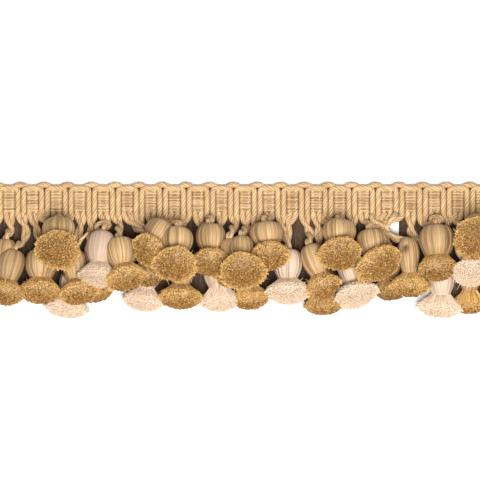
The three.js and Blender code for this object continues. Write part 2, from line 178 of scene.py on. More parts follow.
# The tassel that each pair of cords goes to, counted from the left end in half repeats
CARRIED = [
    "01", "01", "02", "03", "04", "05", "06", "06", "07", "08", "09", "11", "12", "13", "14",
    "15", "16", "15", "18", "18", "20", "21", "22", "23", "24", "25", "25", "27", "28", "30",
    "30", "31", "32", "36", "34", "32", "39", "38", "38", "39", "40", "41", "42", "43", "44",
]
# Places that a pair passes on its way there; each lies on the surface unless it has a height
PASSED = {
    2: [(-105.3, -14.0)], 3: [(-98.3, -14.8), (-99.9, -19.6, 2.6)], 4: [(-93.4, -14.8)],
    8: [(-73.8, -11.7)], 9: [(-69.3, -15.6)], 10: [(-61.9, -11.9)], 11: [(-56.7, -11.7)],
    12: [(-50.4, -11.7)], 13: [(-46.9, -11.3)], 14: [(-41.7, -11.0), (-40.2, -12.6)],
    15: [(-35.0, -11.4)], 17: [(-28.2, -11.7)], 18: [(-20.6, -11.2), (-19.2, -12.8)],
    21: [(-4.6, -11.7)], 22: [(0.3, -13.4)], 23: [(3.9, -12.4)], 25: [(16.6, -13.0), (17.4, -17.4)],
    26: [(19.2, -12.6)], 27: [(27.4, -11.7), (29.0, -16.2)], 28: [(32.6, -11.7)],
    29: [(35.8, -10.8)], 31: [(48.3, -11.7)], 32: [(54.2, -11.3)],
    33: [(58.3, -10.4), (63.2, -14.9), (67.6, -18.4, 6.5)], 34: [(61.8, -11.0)],
    35: [(66.0, -9.6), (61.5, -12.6)],
    36: [(74.4, -12.6), (75.3, -16.6)], 37: [(80.2, -12.4)], 39: [(91.0, -11.0)],
    40: [(95.0, -11.0)],
}
OVER = {33: 2.6, 35: 2.2}  # pairs that cross others, and how much higher they lie
# Tassels with painted shade over all their yarn, and the share of their light that is left
SHADED = {
    "34": 0.55, "28": 0.8, "03": 0.85, "08": 0.8, "09": 0.7, "12": 0.7, "21": 0.85, "38": 0.85,
}
DENTS = {"36": (71.2, -22.4, 1.4, 2.2)}  # hollows in a head's top: place, width and depth

# Loose dark strands laid under the cords and the heads as painted shade
SHADED_STRANDS = 1200
SHADED_HALF = 113  # how far they reach to each side
SHADED_Z, SHADED_RADIUS = 0.37, 0.27  # height of the lower layer, radius in the upper one
OPEN_GAP = (62.6, 69.2, -17.5)  # from x to x, they start only at this y
# Where they end: along the trim, and how far down
MAT_EDGE = [
    (-113, -43), (-70, -41.5), (-62.5, -38.5), (-58, -38), (-54, -41), (-49, -44), (8, -44),
    (27, -46), (34, -46), (56, -44), (61, -41), (83, -41), (91, -46.5), (113, -46),
]

# Lines and meshes


def unit(vectors):
    return vectors / np.maximum(np.linalg.norm(vectors, axis=-1, keepdims=True), 1e-9)


def direction(turn, rise):
    """The unit vector `turn` degrees to the right of -Y and `rise` degrees up."""
    turn, rise = math.radians(turn), math.radians(rise)
    level = math.cos(rise)
    return np.array([math.sin(turn) * level, -math.cos(turn) * level, math.sin(rise)])


def smooth_line(knots, count):
    """`count` points on the Catmull-Rom curve through the rows of `knots`: between knots b and c,
    with a before and d after them, p = (2b + (c-a)t + (2a-5b+4c-d)t^2 + (3b-a-3c+d)t^3) / 2."""
    knots = np.asarray(knots, float)
    padded = np.vstack([2 * knots[0] - knots[1], knots, 2 * knots[-1] - knots[-2]])
    at = np.linspace(0, len(knots) - 1, count)
    first = np.minimum(at.astype(int), len(knots) - 2)
    t = (at - first)[:, None]
    a, b, c, d = (padded[first + i] for i in range(4))
    cubic = (3 * b - a - 3 * c + d) * t**3
    return (2 * b + (c - a) * t + (2 * a - 5 * b + 4 * c - d) * t**2 + cubic) / 2


def travelled(path):
    """The length of a path up to each of its points."""
    return np.concatenate([[0], np.cumsum(np.linalg.norm(np.diff(path, axis=0), axis=1))])


def evenly(path, step):
    """The path's points again, `step` apart along it."""
    length = travelled(path)
    at = np.linspace(0, length[-1], max(2, round(length[-1] / step) + 1))
    return np.stack([np.interp(at, length, path[:, i]) for i in range(3)], axis=1)


def frames(path):
    """Unit vectors at each point of a path: along it, level across it (z x along), and their top."""
    along = unit(np.gradient(path, axis=0))
    side = unit(np.cross(UP, along))
    return along, side, np.cross(along, side)


def across(along):
    """Two unit vectors square to each of `along` and to each other."""
    helper = np.where(np.abs(along[..., 2:]) < 0.8, UP, np.array([1.0, 0.0, 0.0]))
    e = unit(np.cross(helper, along))
    return e, np.cross(along, e)


def grid_faces(rows, columns):
    """Two triangles for each cell of a grid of points, ring by ring, and each corner's row and
    column; the last column is joined to the first."""
    r, c = np.meshgrid(np.arange(rows - 1), np.arange(columns), indexing="ij")
    r, c = r.ravel(), c.ravel()
    at_row = np.stack([r, r, r + 1, r, r + 1, r + 1], 1).reshape(-1, 3)
    at_column = np.stack([c, c + 1, c + 1, c, c + 1, c], 1).reshape(-1, 3)
    return at_row * columns + at_column % columns, at_row, at_column


def part(points, faces, uv, tone, depth, finish=0, smooth=True):
    """One surface of a piece: points in mm, triangles, a UV for each triangle's corner, how light
    and how far out of the shade its yarn is at each point, which of the piece's materials it has,
    and whether it is shaded as a smooth one."""
    count = len(points)
    return {
        "points": points, "faces": faces, "uv": uv, "finish": np.full(len(faces), finish),
        "tone": np.broadcast_to(tone, count), "depth": np.broadcast_to(depth, count),
        "smooth": np.full(len(faces), smooth),
    }


def tube(rings, tone, depth, length, flip=False):
    """A closed tube from a grid of rings, rings[ring, column], with the length along it up to each
    ring; each end is closed by a fan round its middle. U runs once round it and V along it in
    millimetres. Where the rings run the other way round, its faces are flipped."""
    n_rings, columns = rings.shape[:2]
    faces, at_row, at_column = grid_faces(n_rings, columns)
    middles = rings.mean(axis=1)
    uv = np.stack([at_column / columns, length[at_row]], axis=-1)
    points = np.vstack([rings.reshape(-1, 3), middles[:1], middles[-1:]])
    near = np.arange(columns)
    after = (near + 1) % columns
    start = np.full(columns, n_rings * columns)
    first = np.stack([start, after, near], 1)
    last = np.stack([start + 1, near, after], 1) + np.array([0, 1, 1]) * (n_rings - 1) * columns
    cap_u = np.stack([near + 0.5, near, near + 1], 1) / columns
    caps = [np.stack([cap_u, np.full_like(cap_u, v)], axis=-1) for v in (length[0], length[-1])]
    faces, uv = np.vstack([faces, first, last]), np.vstack([uv, *caps])
    if flip:
        faces, uv = faces[:, ::-1], uv[:, ::-1]
    spread = [np.broadcast_to(v, rings.shape[:2]).ravel() for v in (tone, depth)]
    spread = [np.concatenate([v, v[:1], v[-1:]]) for v in spread]
    return part(points, faces, uv, *spread)


def cord(path, radius, plies, pitch, phase, rng):
    """A twisted cord: its skin is path(s) + r (cos a . side + sin a . top), where the angle a of each
    column turns with s, a = a0 + 2 pi s / pitch, so that the columns run along the plies, and r
    goes through a ply's outline over each ply."""
    along, side, top = frames(path)
    length = travelled(path)
    columns = plies * len(PLY_SHAPE)
    angle = 2 * math.pi * (np.arange(columns) / columns)[None, :]
    angle = angle + (2 * math.pi * length / pitch + phase)[:, None]
    reach = np.tile(PLY_SHAPE, plies)[None, :] * np.broadcast_to(radius, len(path))[:, None]
    reach = reach * (1 + 0.02 * rng.standard_normal((len(path), 1)))
    rings = path[:, None] + reach[..., None] * (
        np.cos(angle)[..., None] * side[:, None] + np.sin(angle)[..., None] * top[:, None]
    )
    tone = 0.5 + 0.2 * rng.standard_normal(2 * plies).repeat(len(PLY_SHAPE) // 2)
    # painted shade in the grooves between the plies
    gap = min(PLY_SHAPE)
    depth = np.tile((np.array(PLY_SHAPE) - gap) / (1 - gap), plies)
    return tube(rings, tone[None, :], 0.1 + 0.9 * depth[None, :], length, flip=True)


def prisms(paths, radius, tone, depth, rng, finish=0):
    """Closed three-sided strands, one along each of paths[strand, point], with a radius at each
    point: corner j of each section is p + r (cos(a + 2 pi j / 3) e + sin(a + 2 pi j / 3) f)."""
    count, n_points = paths.shape[:2]
    e, f = across(unit(np.gradient(paths, axis=1)))
    angle = rng.uniform(0, 2 * math.pi, (count, 1, 1)) + np.arange(3) * 2 * math.pi / 3
    cosine, sine = np.cos(angle)[..., None], np.sin(angle)[..., None]
    rings = paths[:, :, None] + np.broadcast_to(radius, (count, n_points))[..., None, None] * (
        cosine * e[:, :, None] + sine * f[:, :, None]
    )
    faces, _, _ = grid_faces(n_points, 3)
    last = 3 * (n_points - 1)
    faces = np.vstack([faces, [[0, 2, 1]], [[last, last + 1, last + 2]]])
    per = 3 * n_points
    faces = (faces[None] + per * np.arange(count)[:, None, None]).reshape(-1, 3)
    points = rings.reshape(-1, 3)
    v = np.linalg.norm(np.diff(paths, axis=1), axis=2).cumsum(axis=1)
    v = np.concatenate([np.zeros((count, 1)), v], axis=1).repeat(3, axis=1).ravel()
    u = (rng.uniform(0, 1, (count, 1)) + np.tile([0, 0.02, 0.04], n_points)).ravel()
    uv = np.stack([u, v], axis=1)[faces]
    tone = np.repeat(tone, per)
    depth = np.broadcast_to(depth, (count, n_points)).repeat(3, axis=1).ravel()
    return part(points, faces, uv, tone, depth, finish, smooth=False)


def spikes(tips, way, reach, radius, tone, rng):
    """Closed strands of four faces, each from a point inside the tuft, p - l w, to a cut end with
    the corners p + r (cos(a + 2 pi j / 3) e + sin(a + 2 pi j / 3) f), each with its own r."""
    count = len(tips)
    e, f = across(way)
    angle = rng.uniform(0, 2 * math.pi, (count, 1)) + np.arange(3) * 2 * math.pi / 3
    wide = radius[:, None] * rng.uniform(0.8, 1.2, (count, 3))
    ends = tips[:, None] + (wide * np.cos(angle))[..., None] * e[:, None]
    ends = ends + (wide * np.sin(angle))[..., None] * f[:, None]
    inner = (tips - reach[:, None] * way)[:, None]
    points = np.concatenate([inner, ends], axis=1).reshape(-1, 3)
    faces = np.array([[1, 2, 3], [0, 2, 1], [0, 3, 2], [0, 1, 3]])
    faces = (faces[None] + 4 * np.arange(count)[:, None, None]).reshape(-1, 3)
    u = (rng.uniform(0, 1, (count, 1)) + [0, 0, 0.02, 0.04]).ravel()
    v = (reach[:, None] * [0, 1, 1, 1]).ravel()
    uv = np.stack([u, v], axis=1)[faces]
    # painted shade at each strand's inner end, inside the tuft
    depth = np.tile([0.4, 1.0, 1.0, 1.0], count)
    return part(points, faces, uv, np.repeat(tone, 4), depth, finish=1, smooth=False)


# Making tassels


def uprightness(tassel):
    """0 for a tuft that lies on its side and 1 for one whose face is turned up."""
    return math.sin(math.radians(tassel["rise"])) ** 2


def tuft_length(tassel):
    """From the neck to the middle of the tuft's face."""
    return TUFT_LYING + (TUFT_UPRIGHT - TUFT_LYING) * uprightness(tassel)


def profile_of(tassel):
    """A tassel's outline as rows: h from the neck along its axis, radius r, how far the row has
    gone over from the head's axis to the tuft's, and how far it is from the shade."""
    tuft = tuft_length(tassel)
    girth, length, spread = tassel["girth"], tassel["length"], tassel["spread"]
    head = smooth_line(HEAD_OUTLINE, HEAD_ROWS)
    head = np.stack([(head[:, 0] - 1) * length, np.maximum(head[:, 1], 0) * girth], 1)
    flare = smooth_line(TUFT_OUTLINE, FLARE_ROWS + 1)[1:]
    root = NECK * girth
    flare = np.stack([flare[:, 0] * tuft, root + CORE_OUT + flare[:, 1] * (spread - root)], 1)
    core = np.array(CORE_FACE) * [tuft, spread]
    rows = np.vstack([head, flare, core])
    before, after = GOES_OVER[0] * length, GOES_OVER[1] * tuft
    over = np.clip((rows[:, 0] + before) / (before + after), 0, 1)
    over = over * over * (3 - 2 * over)
    shade = np.ones(len(rows))
    shade[:3] = DIMPLE_SHADE
    shade[HEAD_ROWS:] = CORE_SHADE
    return rows, over, shade


def placed(tassel):
    """A tassel's two axes with their level sides and tops, its neck, and how thick its tuft is; its
    height is such that its top is as high as its solid's."""
    along = direction(tassel["turn"], tassel["tip"])
    tuft_along = direction(tassel["bend"], tassel["rise"])
    thick = LIE + (1 - LIE) * uprightness(tassel)
    middle = np.array([tassel["x"], tassel["y"], 0.0])
    neck = middle + along * tassel["length"] / 2
    axes = []
    for axis in (along, tuft_along):
        side = unit(np.cross(axis, UP))
        axes.append((axis, side, np.cross(side, axis)))
    head_top = neck[2] + (SOLID_HEAD[:, 0] - 1) * tassel["length"] * along[2]
    head_top = head_top + SOLID_HEAD[:, 1] * tassel["girth"] * axes[0][2][2]
    root = NECK * tassel["girth"]
    reach = root + SOLID_TUFT[:, 1] * (tassel["spread"] - root)
    reach[-1] = 0
    reach = reach * (1 + LOCK * SOLID_TUFT[:, 2] + UNEVEN * math.cos(tassel["x"]))
    tuft_top = neck[2] + SOLID_TUFT[:, 0] * tuft_length(tassel) * tuft_along[2]
    tuft_top = tuft_top + reach * thick * axes[1][2][2]
    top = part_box("tassel_" + tassel["name"])[1].z / MM
    return axes, neck + UP * (top - max(head_top.max(), tuft_top.max())), thick


def lying_bodies(tassel, axes, neck, thick):
    """The head and the tuft as bodies of revolution, each (foot, axis, side, top, flattening,
    heights, radii), for what lies on them."""
    rows, _, _ = profile_of(tassel)
    head = rows[:HEAD_ROWS]
    share = np.linspace(0, 1, 9)[::-1]
    face = np.stack([tuft_length(tassel) * (1 - DOME * share**3), tassel["spread"] * share], 1)
    brush = np.vstack([rows[HEAD_ROWS - 1 : HEAD_ROWS + FLARE_ROWS - 1], face])
    return [
        (neck, *axes[0], 1.0, head[:, 0], head[:, 1]),
        (neck, *axes[1], thick, brush[:, 0], brush[:, 1]),
    ]


def pushed_clear(points, bodies, gap):
    """Points inside a body of revolution move the shortest way out of it: outwards from its axis to
    R(h) + gap, or along it past the surface of its nearer end, h = H(r) +- gap."""
    for foot, axis, side, top, flat, heights, radii in bodies:
        away = points - foot
        h, x, y = away @ axis, away @ side, (away @ top) / flat
        r = np.hypot(x, y)
        widest = int(np.argmax(radii))
        limit = np.interp(h, heights, radii + gap, left=0, right=0)
        front_r, front_h = radii[widest:][::-1], heights[widest:][::-1]
        back_r, back_h = radii[: widest + 1], heights[: widest + 1]
        to_front = np.interp(r, front_r, front_h) + gap - h
        to_back = h - np.interp(r, back_r, back_h) + gap
        outwards = (limit - r) * flat
        inside = (limit > r) & (to_front > 0) & (to_back > 0)
        way = np.argmin([outwards, to_front, to_back], axis=0)
        scale = np.where(inside & (way == 0), limit / np.maximum(r, 0.3), 1)
        shift = np.where(inside & (way == 1), to_front, 0)
        shift = shift - np.where(inside & (way == 2), to_back, 0)
        points = (
            foot + (h + shift)[:, None] * axis
            + (x * scale)[:, None] * side + (y * scale * flat)[:, None] * top
        )
    return points


def about_axes(rows, over, angle, reach, axes, neck, thick):
    """Points at height h and angle a: (1 - w) (neck + h A + r (cos a . top + sin a . side)) + w (the
    same about the tuft's axis), where w goes from 0 to 1 round the neck."""
    points = 0
    for (axis, side, top), share, flat in zip(axes, (1 - over, over), (1.0, thick)):
        outwards = np.cos(angle)[..., None] * top * flat + np.sin(angle)[..., None] * side
        about = neck + rows[:, :1, None] * axis + reach[..., None] * outwards
        points = points + share[:, None, None] * about
    return points


def turned(rows, points, tone, depth):
    """A closed surface from rings of points that start and end on its axis."""
    faces, at_row, at_column = grid_faces(*points.shape[:2])
    length = travelled(rows @ np.eye(2, 3))
    uv = np.stack([at_column / points.shape[1], length[at_row]], axis=-1)
    tone, depth = (np.broadcast_to(v, points.shape[:2]).ravel() for v in (tone, depth))
    return part(points.reshape(-1, 3), faces, uv, tone, np.clip(depth, 0, 1))


def uneven_rim(tassel, angle):
    """How far a tuft spreads at an angle, as a share of its even spread: 1 + 0.05 cos(2a + p) +
    0.045 cos(3a + 2p) + 0.03 cos(7a + 3p), with a p of its own for each tassel."""
    phase = 1.7 * int(tassel["name"])
    return 1 + sum(
        height * np.cos(waves * angle + turns * phase)
        for height, waves, turns in ((0.05, 2, 1), (0.045, 3, 2), (0.03, 7, 3))
    )


def head_threads(tassel, axes, neck, thick, rng):
    """A head of lengthwise threads, closed inside its tuft: its radius is r(h) (1 + 0.016 z + 0.007 c +
    u), where z rises and falls from thread to thread, c gathers threads into streaks and u, of
    two and three waves round the head, keeps it from being quite round."""
    rows, over, shade = profile_of(tassel)
    tuft = tuft_length(tassel)
    rows = np.vstack([rows[:HEAD_ROWS], [0.05 * tuft, rows[HEAD_ROWS - 1, 1]], [0.12 * tuft, 0]])
    over = np.append(over[:HEAD_ROWS], [over[HEAD_ROWS], over[HEAD_ROWS]])
    columns = 2 * THREADS
    angle = np.arange(columns) * 2 * math.pi / columns
    h = rows[:, :1]
    waves = STREAK_WAVES[:, None, None]
    phases = rng.uniform(0, 2 * math.pi, len(waves))[:, None, None]
    drift = rng.uniform(-0.2, 0.2, len(waves))[:, None, None]
    streaks = np.cos(waves * angle + phases + drift * h).sum(axis=0) / math.sqrt(len(waves))
    ridge = np.where(np.arange(columns) % 2, -1.0, 1.0) * rng.uniform(0.5, 1.1, THREADS).repeat(2)
    lean = rng.uniform(0, 2 * math.pi, 2)
    uneven = 0.025 * np.cos(2 * angle + lean[0]) + 0.015 * np.cos(3 * angle + lean[1])
    reach = rows[:, 1:] * (1 + RIDGE * ridge + STREAK * streaks + uneven)
    turn = angle + 0.02 * rng.standard_normal(columns) + 0.05 * np.sin(h / 5 + lean[0])
    points = about_axes(rows, over, turn, reach, axes, neck, thick)
    lit = 1.0
    if tassel["name"] in DENTS:
        x, y, width, depth = DENTS[tassel["name"]]
        near = np.exp(-((points[..., 0] - x) ** 2 + (points[..., 1] - y) ** 2) / width**2)
        near = near * (points[..., 2] > neck[2])
        points[..., 2] -= depth * near
        # painted shade in the hollow
        lit = 1 - near
    contrast = THREAD_CONTRAST[tassel["yarn"]]
    tone = 0.5 + contrast * (0.12 * streaks + 0.2 * rng.standard_normal(THREADS).repeat(2))
    shade = np.append(shade[:HEAD_ROWS], [NECK_SHADE, NECK_SHADE])[:, None]
    # painted shade in every other column, the groove between two threads
    return turned(rows, points, tone, shade * lit - 0.3 * contrast * (np.arange(columns) % 2))


def tuft_core(tassel, axes, neck, thick, rng):
    """The closed core that the cut ends of a tuft stand on; it follows the uneven rim."""
    rows, over, shade = (values[HEAD_ROWS - 1 :] for values in profile_of(tassel))
    rows = np.vstack([[rows[0, 0], 0], rows])
    over, shade = np.append(over[:1], over), np.append(0, shade)
    angle = np.arange(CORE_COLUMNS) * 2 * math.pi / CORE_COLUMNS
    root = min(NECK * tassel["girth"], rows[1, 1])
    beyond = np.maximum(rows[:, 1:] - root, 0)
    reach = np.minimum(rows[:, 1:], root) + beyond * uneven_rim(tassel, angle)
    points = about_axes(rows, over, angle[None], reach, axes, neck, thick)
    tone = 0.4 + 0.2 * rng.standard_normal(CORE_COLUMNS)
    return turned(rows, points, tone, shade[:, None])


def cut_ends(tassel, axes, neck, thick, rng):
    """The face of cut yarn: tips spread evenly over it by the golden turn, h = T (1 - 0.42 q^3) at q
    of the spread, and over the rim behind it, each strand pointing away from the root."""
    axis, side, top = axes[1]
    tuft, spread = tuft_length(tassel), tassel["spread"]
    n_face = int(math.pi * spread**2 * thick / FACE_PER_END)
    order = np.arange(n_face) + 0.5
    q = np.sqrt(order / n_face)
    a = order * GOLDEN_TURN + rng.normal(0, 0.05, n_face)
    face_r = spread * q + rng.normal(0, 0.12, n_face)
    face_h = tuft * (1 - DOME * q**3)
    n_rim = int(2 * math.pi * spread * RIM_LONG * tuft / RIM_PER_END)
    share = rng.uniform(*RIM_SPAN, n_rim)
    outline = np.array(TUFT_OUTLINE + [(0.65, 1.0)])
    widen = np.interp(share, *outline.T)
    root = NECK * tassel["girth"]
    r = np.append(face_r, root + widen * (spread - root) + rng.uniform(0.3, 0.9, n_rim))
    h = np.append(face_h, share * tuft)
    a = np.append(a, np.arange(n_rim) * GOLDEN_TURN + rng.normal(0, 0.1, n_rim))
    r = r * (1 + (uneven_rim(tassel, a) - 1) * np.clip(r / spread, 0, 1) ** 2)
    count = n_face + n_rim
    outwards = np.cos(a)[:, None] * top * thick + np.sin(a)[:, None] * side
    tips = neck + h[:, None] * axis + r[:, None] * outwards
    way = unit(tips - (neck + 0.08 * tuft * axis))
    way = unit(way + 0.1 * rng.standard_normal((count, 3)))
    reach = rng.uniform(2.2, 3.0, count)
    tips = tips + way * rng.normal(0, 0.22, (count, 1))
    radius = rng.uniform(*STRAND_RADIUS, count)
    pale = np.append(FACE_TONE[0] + FACE_TONE[1] * q**3, np.full(n_rim, RIM_TONE))
    tone = np.clip(pale + END_CONTRAST[tassel["yarn"]] * rng.standard_normal(count), 0, 1)
    return spikes(tips, way, reach, radius, tone, rng)


def flare_yarn(tassel, axes, neck, thick, rng):
    """The yarn that fans out from the neck to the rim: each strand drifts a little from its angle a
    and follows the tuft's outline, r = root + w(h) u(a) (spread - root) + o, where u is the uneven
    rim, from a height near the neck to its tip."""
    axis, side, top = axes[1]
    tuft, spread, root = tuft_length(tassel), tassel["spread"], NECK * tassel["girth"]
    count = int(2 * math.pi * spread / FLARE_STEP)
    order = np.arange(count) + 0.5
    start = rng.uniform(-0.08, 0.18, count)
    tip = np.minimum(start + rng.uniform(0.3, 0.5, count), 0.62) + rng.normal(0, 0.02, count)
    share = start[:, None] + (tip - start)[:, None] * np.array([0, 0.45, 1.0])
    outline = np.array([(-0.1, 0.0), *TUFT_OUTLINE, (0.62, 1.0), (0.75, 1.02)])
    widen = np.interp(share, *outline.T)
    out = rng.uniform(0.1, 0.5, (count, 1)) + np.array([-0.35, 0.05, 0.3])
    a = (order * GOLDEN_TURN)[:, None] + np.cumsum(rng.normal(0, 0.025, (count, 3)), axis=1)
    r = root + widen * (spread - root) * uneven_rim(tassel, a) + out
    outwards = np.cos(a)[..., None] * top * thick + np.sin(a)[..., None] * side
    paths = neck + (share * tuft)[..., None] * axis + r[..., None] * outwards
    radius = rng.uniform(*STRAND_RADIUS, (count, 1)) * np.array([0.8, 1.0, 0.8])
    tone = np.clip(0.7 + 0.2 * rng.standard_normal(count), 0, 1)
    # a little painted shade where each strand starts, near the neck
    return prisms(paths, radius, tone, np.array([0.8, 1.0, 1.0]), rng, finish=1)


def stray_fibres(tassel, axes, neck, thick, rng):
    """Thin fibres that stand out from the rim and curl: p + l (t w + 0.35 t^2 c) for t from 0 to 1,
    where w points outwards and c anywhere."""
    axis, side, top = axes[1]
    tuft, count = tuft_length(tassel), FIBRES[tassel["yarn"]]
    a = rng.uniform(0, 2 * math.pi, count)
    h = tuft * rng.uniform(0.15, 0.8, count)
    outwards = np.cos(a)[:, None] * top * thick + np.sin(a)[:, None] * side
    rim = np.interp(h / tuft, [0.0, 0.4, 0.8], [0.55, 0.85, 0.88])
    start = neck + h[:, None] * axis + (rim * tassel["spread"])[:, None] * outwards
    way = unit(outwards + 0.5 * axis + 0.5 * rng.standard_normal((count, 3)))
    curl = unit(rng.standard_normal((count, 3)))
    t = np.linspace(0, 1, 4)[None, :, None]
    length = rng.uniform(1.2, 2.8, (count, 1, 1))
    paths = start[:, None] + length * (t * way[:, None] + 0.35 * t**2 * curl[:, None])
    radius = 0.1 * np.array([1, 1, 0.8, 0.5])
    return prisms(paths, radius, np.ones(count), 1.0, rng, finish=1)


# Making cords and weave


def pair_route(pair, tassel, axes, neck):
    """The middle line of a pair of cords, from the heading past its own places into its tassel's
    dimple."""
    along = axes[0][0]
    x = pair * STEP - END
    dimple = neck - along * tassel["length"]
    height = FRONT_Z if pair % 2 else BACK_Z
    lying = SURFACE_Z + OVER.get(pair, 0)
    knots = [np.array([x, HEADING_LOW, height]), np.array([x, HEADING_LOW - LEAD, height])]
    if pair in PASSED:
        for place_x, place_y, *own_height in PASSED[pair]:
            knots.append(np.array([place_x, place_y, *(own_height or [lying])]))
    else:
        knots.append(np.array([x, HEADING_LOW - LEAD - ELBOW, SURFACE_Z + 0.2]))
    inside = dimple + along * DIMPLE_DEEP * tassel["length"]
    mouth = dimple - along * MOUTH
    mouth[1] = min(mouth[1], knots[-1][1] - 0.2)
    if knots[-1][1] - mouth[1] > LONG_DROP:
        knots.append(np.append((dimple - along * CLIMB)[:2], SURFACE_Z))
    knots += [mouth, inside]
    return evenly(smooth_line(knots, 60), ROUTE_STEP)


def pair_cord(route, hand):
    """One cord of a pair: it keeps `hand` (1 or -1) times off(s) from the pair's middle line while
    the angle of that offset turns, the left one over the right one."""
    length = travelled(route)
    at, radius, off = np.array(PAIR_TAPER).T
    radius, off = np.interp(length, at, radius), np.interp(length, at, off)
    turn = 2 * math.pi * np.maximum(length - TWIST_FROM, 0) / PAIR_PITCH
    _, side, top = frames(route)
    around = np.cos(turn)[:, None] * side - np.sin(turn)[:, None] * top
    path = route + hand * off[:, None] * around
    path[:, 2] = np.maximum(path[:, 2], 1.03 * radius + 0.03)
    return path, radius


def heading_line(front):
    """One cord's way through the heading, nearly half a repeat to each side of its middle: a front
    cord goes up beside a slit, over the panel and down beside the next slit, and a back cord up
    behind a panel, over the slit and down behind the next panel."""
    reach = STEP - CORD_OFF
    if front:
        left = [(-reach, HEADING_LOW, FRONT_Z), (-reach, -3, 2.2), (-reach, 1.2, 2.2),
                (-3.95, 3.0, 2.2), (-3.3, 4.2, 2.25), (-1.7, 4.5, 2.25)]
        middle = (0, 4.5, 2.25)
    else:
        left = [(-reach, HEADING_LOW, BACK_Z), (-reach, -3, 1.36), (-reach, 1.6, 1.36),
                (-3.75, 3.6, 1.42), (-2.7, 4.95, 1.52), (-1.35, 5.62, 1.62)]
        middle = (0, 5.8, 1.66)
    right = [(-x, y, z) for x, y, z in reversed(left)]
    return np.array(left + [middle] + right)


def cord_layer(front, routes, rng):
    """The front or the back cords: each comes up out of one pair and goes down into the next but
    one; the two front cords at the ends are cut at the panel's middle."""
    parts = []
    for pair in range(-1 if front else 0, len(CARRIED) - 1, 2):
        middle = (pair + 1) * STEP - END
        line = smooth_line(heading_line(front) + [middle, 0, 0], 80)
        if pair < 0:
            line = line[len(line) // 2 :]
        if pair + 2 >= len(CARRIED):
            line = line[: len(line) // 2 + 1]
        paths, radii = [line], [np.full(len(line), CORD)]
        if pair >= 0:
            path, radius = pair_cord(routes[pair], 1)
            paths.insert(0, path[:0:-1])
            radii.insert(0, radius[:0:-1])
        if pair + 2 < len(CARRIED):
            path, radius = pair_cord(routes[pair + 2], -1)
            paths.append(path[1:])
            radii.append(radius[1:])
        whole, radius = np.vstack(paths), np.concatenate(radii)
        length = travelled(whole)
        whole = evenly(whole, RING)
        radius = np.interp(np.linspace(0, length[-1], len(whole)), length, radius)
        parts.append(cord(whole, radius, CORD_PLIES, CORD_PITCH, rng.uniform(0, 6), rng))
    return parts


def weft_panel(middle, low_x, high_x, rng):
    """A panel of level weft threads: a closed section in y and z, with a ridge for each thread on
    its face, carried along x, where it swells by 1 - (x / half)^2 and the threads sway."""
    threads = PANEL_THREADS + 1
    y = np.linspace(HEADING_LOW + 0.1, PANEL_TOP, PANEL_THREADS * THREAD_POINTS + 1)

    def each_point(of_threads):
        return of_threads.repeat(THREAD_POINTS)[: len(y)]

    bow = np.cos(2 * math.pi * np.arange(len(y)) / THREAD_POINTS)
    height = each_point(rng.uniform(0.6, 1.4, threads))
    x = np.linspace(low_x, high_x, 9)
    swell = 1 - ((x - middle) / PANEL_HALF) ** 2
    edge = np.clip(np.minimum(y - y[0], y[-1] - y) / 0.7, 0, 1) ** 0.5
    z = PANEL_Z + PANEL_SWELL * swell[:, None] - THREAD_HIGH * bow * height - 0.5 * (1 - edge)
    sway = 0.09 * np.sin(x[:, None] * 1.3 + each_point(rng.uniform(0, 6, threads)))
    top = np.stack([np.broadcast_to(x[:, None], z.shape), y + sway, z], axis=-1)
    under_y = y[::-1][:: 2 * THREAD_POINTS]
    under = np.stack(np.broadcast_arrays(x[:, None], under_y, 1.0), axis=-1)
    rings = np.concatenate([top, under], axis=1)
    turns = np.where(np.arange(threads) % 2, 0.18, -0.18)  # light and dark in turns
    light = each_point(0.56 + turns + 0.22 * rng.standard_normal(threads))
    tone = np.concatenate([light, np.full(len(under_y), 0.4)])[None]
    # painted shade in the grooves between threads, and some on the underside
    depth = np.concatenate([0.55 - 0.45 * bow, np.full(len(under_y), 0.2)])[None]
    return tube(rings, tone, depth, x - low_x)


def ground_weave():
    """The flat ground behind the cords: a slab of level threads, its section ridged on both faces,
    carried from one end of the trim to the other; its face is in the shade of the cords."""
    y = np.linspace(HEADING_LOW - 1.0, 5.2, 77)
    bow = 0.07 * np.cos(2 * math.pi * np.arange(len(y)) / 4)
    section_y = np.concatenate([y, y[::-1]])
    section_z = np.concatenate([0.85 - bow, 0.07 + bow[::-1]])
    x = np.linspace(-END, END, 2 * REPEATS + 1)
    rings = np.stack(np.broadcast_arrays(x[:, None], section_y, section_z), axis=-1)
    # painted shade on the face, less on the underside
    depth = np.repeat([0.0, 0.8], len(y))[None]
    return tube(rings, 0.4, depth, x + END)


def painted_shade_strands(rng):
    """Loose dark strands that lie on the surface under the cords and the heads as painted shade:
    each runs down in waves, x = x0 + w sin(y / 4 + p), and starts lower where the surface shows."""
    count = SHADED_STRANDS
    below = (np.arange(count) % 2).reshape(-1, 1)  # every other strand fills the layer below
    x = np.linspace(-SHADED_HALF, SHADED_HALF, count)[:, None]
    gap_from, gap_to, gap_low = OPEN_GAP
    high = np.where((x > gap_from) & (x < gap_to), gap_low, HEADING_LOW - 0.6)
    low = np.interp(x, *np.array(MAT_EDGE).T) + rng.uniform(-0.7, 0.7, (count, 1))
    t = np.linspace(0, 1, 6)
    y = high + (low - high) * t
    wave = (0.9 - 0.8 * below) * np.sin(y / 4 + rng.uniform(0, 6, (count, 1)))
    z = SHADED_Z + (1 - below) * rng.uniform(0.2, 0.7, (count, 1))
    waved_x = x + wave * np.minimum(t * 4, 1)
    paths = np.stack(np.broadcast_arrays(waved_x, y, z), axis=-1)
    radius = SHADED_RADIUS + 0.09 * below
    return prisms(paths, radius, rng.uniform(0, 1, count), 1.0, rng)


